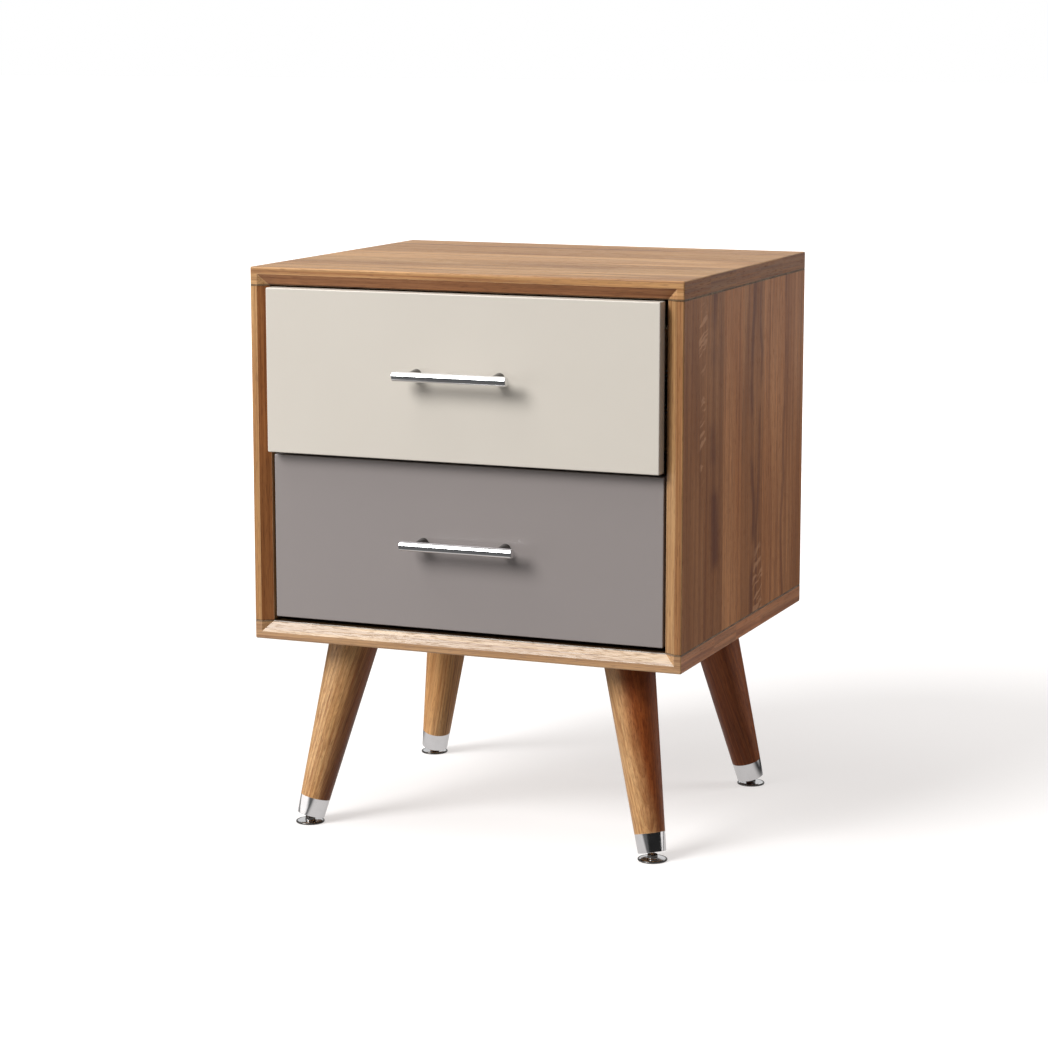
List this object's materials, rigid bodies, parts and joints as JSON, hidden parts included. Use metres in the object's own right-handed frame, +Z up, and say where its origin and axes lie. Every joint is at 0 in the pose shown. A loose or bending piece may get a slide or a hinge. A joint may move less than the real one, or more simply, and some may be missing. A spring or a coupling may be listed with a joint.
{
  "type": "nightstand",
  "caption": "Wooden nightstand with lacquered drawers on metal slides, bar handles, and splayed turned legs ending in metal ferrules with tilting glides.",
  "frame": {"origin": "on the floor, at the middle of the whole object's footprint box with its handles", "axes": "+Z up, -Y is the drawers' side, +X is on the right of someone facing the drawers"},
  "size_m": [0.5, 0.4672, 0.63],
  "materials": {
    "case_wood": "satin lacquered veneer in staves",
    "leg_wood": "satin lacquered solid wood",
    "back_fibreboard": "veneered fibreboard",
    "dowel_wood": "raw beech",
    "cream_lacquer": "satin cream lacquer on board",
    "taupe_lacquer": "satin taupe lacquer on board",
    "box_plywood": "sealed birch plywood",
    "chrome": "polished",
    "zinc_steel": "zinc plated",
    "brass": "plain"
  },
  "bodies": {
    "case": {"top_board": "case_wood", "bottom_board": "case_wood", "left_side_board": "case_wood", "right_side_board": "case_wood", "case_dowels": "dowel_wood", "back_board": "back_fibreboard", "back_board_screws": "zinc_steel", "leg_front_left": "leg_wood", "ferrule_front_left": "chrome", "leg_front_right": "leg_wood", "ferrule_front_right": "chrome", "leg_back_left": "leg_wood", "ferrule_back_left": "chrome", "leg_back_right": "leg_wood", "ferrule_back_right": "chrome", "leg_hanger_bolts": "zinc_steel", "leg_inserts": "brass", "glide_stems": "zinc_steel", "case_rail_screws": "zinc_steel", "upper_left_case_rail": "zinc_steel", "upper_right_case_rail": "zinc_steel", "lower_left_case_rail": "zinc_steel", "lower_right_case_rail": "zinc_steel"},
    "upper_drawer": {"upper_front": "cream_lacquer", "upper_box_left": "box_plywood", "upper_box_right": "box_plywood", "upper_box_front": "box_plywood", "upper_box_back": "box_plywood", "upper_box_floor": "box_plywood", "upper_handle_bar": "chrome", "upper_handle_posts": "chrome", "upper_handle_screws": "zinc_steel", "upper_front_screws": "zinc_steel", "upper_left_drawer_rail": "zinc_steel", "upper_right_drawer_rail": "zinc_steel", "upper_drawer_rail_screws": "zinc_steel"},
    "upper_runners": {"upper_left_middle_rail": "zinc_steel", "upper_right_middle_rail": "zinc_steel", "upper_ball_cages": "zinc_steel"},
    "lower_drawer": {"lower_front": "taupe_lacquer", "lower_box_left": "box_plywood", "lower_box_right": "box_plywood", "lower_box_front": "box_plywood", "lower_box_back": "box_plywood", "lower_box_floor": "box_plywood", "lower_handle_bar": "chrome", "lower_handle_posts": "chrome", "lower_handle_screws": "zinc_steel", "lower_front_screws": "zinc_steel", "lower_left_drawer_rail": "zinc_steel", "lower_right_drawer_rail": "zinc_steel", "lower_drawer_rail_screws": "zinc_steel"},
    "lower_runners": {"lower_left_middle_rail": "zinc_steel", "lower_right_middle_rail": "zinc_steel", "lower_ball_cages": "zinc_steel"},
    "glide_front_left_foot": {"glide_front_left": "chrome"},
    "glide_front_right_foot": {"glide_front_right": "chrome"},
    "glide_back_left_foot": {"glide_back_left": "chrome"},
    "glide_back_right_foot": {"glide_back_right": "chrome"}
  },
  "joints": [
    {"name": "upper_drawer_slide", "type": "slide", "parent": "case", "child": "upper_drawer", "axis": [0, -1, 0], "range_m": [-0.016, 0.314]},
    {"name": "upper_runner_slide", "type": "slide", "parent": "case", "child": "upper_runners", "axis": [0, -1, 0], "range_m": [-0.008, 0.157]},
    {"name": "lower_drawer_slide", "type": "slide", "parent": "case", "child": "lower_drawer", "axis": [0, -1, 0], "range_m": [0, 0.33]},
    {"name": "lower_runner_slide", "type": "slide", "parent": "case", "child": "lower_runners", "axis": [0, -1, 0], "range_m": [0, 0.165]},
    {"name": "glide_front_left_tilt", "type": "hinge", "parent": "case", "child": "glide_front_left_foot", "pos_m": [-0.20541, -0.1554, 0.0054], "axis": [0.6561, -0.7547, 0], "range_deg": [-8, 8]},
    {"name": "glide_front_right_tilt", "type": "hinge", "parent": "case", "child": "glide_front_right_foot", "pos_m": [0.20541, -0.1554, 0.0054], "axis": [0.6561, 0.7547, 0], "range_deg": [-8, 8]},
    {"name": "glide_back_left_tilt", "type": "hinge", "parent": "case", "child": "glide_back_left_foot", "pos_m": [-0.20541, 0.1927, 0.0054], "axis": [-0.6561, -0.7547, 0], "range_deg": [-8, 8]},
    {"name": "glide_back_right_tilt", "type": "hinge", "parent": "case", "child": "glide_back_right_foot", "pos_m": [0.20541, 0.1927, 0.0054], "axis": [-0.6561, 0.7547, 0], "range_deg": [-8, 8]}
  ],
  "couplings": [
    {"joint": "upper_runner_slide", "follows": "upper_drawer_slide", "ratio": 0.5},
    {"joint": "lower_runner_slide", "follows": "lower_drawer_slide", "ratio": 0.5}
  ]
}
